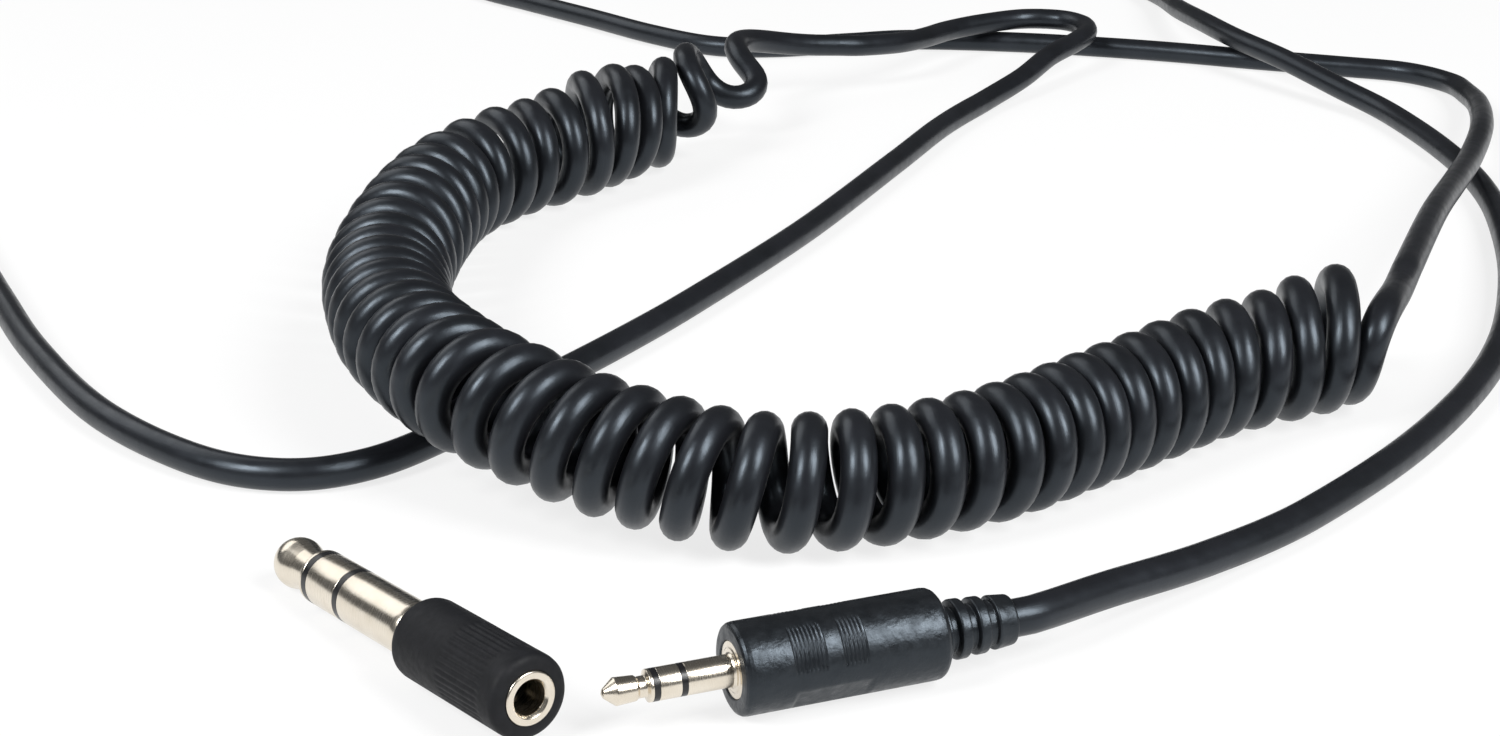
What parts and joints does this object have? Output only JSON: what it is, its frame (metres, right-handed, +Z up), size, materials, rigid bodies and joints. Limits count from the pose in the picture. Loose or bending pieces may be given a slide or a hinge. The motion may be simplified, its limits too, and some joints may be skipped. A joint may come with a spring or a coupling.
{
  "type": "coiled headphone lead",
  "caption": "Black headphone lead: curled middle, straight ends, small stereo plug, latched contact connector, and a loose large plug adapter.",
  "frame": {"origin": "middle of the ground that the whole lead covers, on the surface it lies on", "axes": "+Z up; +X to the right and +Y away from the viewer, who faces the plug"},
  "size_m": [0.3138, 0.4177, 0.0217],
  "materials": {
    "contact_metal": "warm nickel plate, polished",
    "ring_black": "black insulating plastic",
    "copper": "bare copper strands",
    "inner_plastic": "unpainted plastic",
    "plug_black": "satin black moulded PVC with a fine grain",
    "adapter_black": "matt black moulded plastic",
    "spring_metal": "spring metal",
    "gold_contacts": "gold-plated contacts",
    "connector_metal": "satin nickel",
    "boot_black": "soft black rubber",
    "cord_black": "satin-gloss bluish black PVC jacket"
  },
  "bodies": {
    "lead": {"plug_tip": "contact_metal", "plug_tip_insulator": "ring_black", "plug_ring": "contact_metal", "plug_ring_insulator": "ring_black", "plug_sleeve": "contact_metal", "plug_wires": "copper", "plug_inner_mould": "inner_plastic", "plug_body": "plug_black", "connector_contacts": "gold_contacts", "connector_insert": "ring_black", "connector_wires": "copper", "connector_clamp": "ring_black", "connector_latch_pin": "spring_metal", "connector_spring": "spring_metal", "connector_shell": "connector_metal", "connector_cap": "connector_metal", "connector_boot": "boot_black", "plug_cord": "cord_black", "curly_cord": "cord_black", "headphone_cord": "cord_black"},
    "adapter": {"adapter_tip": "contact_metal", "adapter_tip_insulator": "ring_black", "adapter_ring": "contact_metal", "adapter_ring_insulator": "ring_black", "adapter_sleeve": "contact_metal", "adapter_ring_spring": "spring_metal", "adapter_tip_spring": "spring_metal", "adapter_liner": "inner_plastic", "adapter_bush": "contact_metal", "adapter_body": "adapter_black"},
    "latch": {"connector_latch": "connector_metal"}
  },
  "joints": [
    {"name": "latch_press", "type": "hinge", "parent": "lead", "child": "latch", "pos_m": [-0.1457, 0.02238, 0.00925], "axis": [-0.891, -0.454, 0], "range_deg": [0, 4.5], "stiffness_Nm_per_rad": 0.2, "springref_deg": -2.86, "deforming": ["connector_spring"]},
    {"name": "adapter_lift", "type": "slide", "parent": "lead", "child": "adapter", "axis": [0, 0, 1], "range_m": [0, 0.05]}
  ]
}
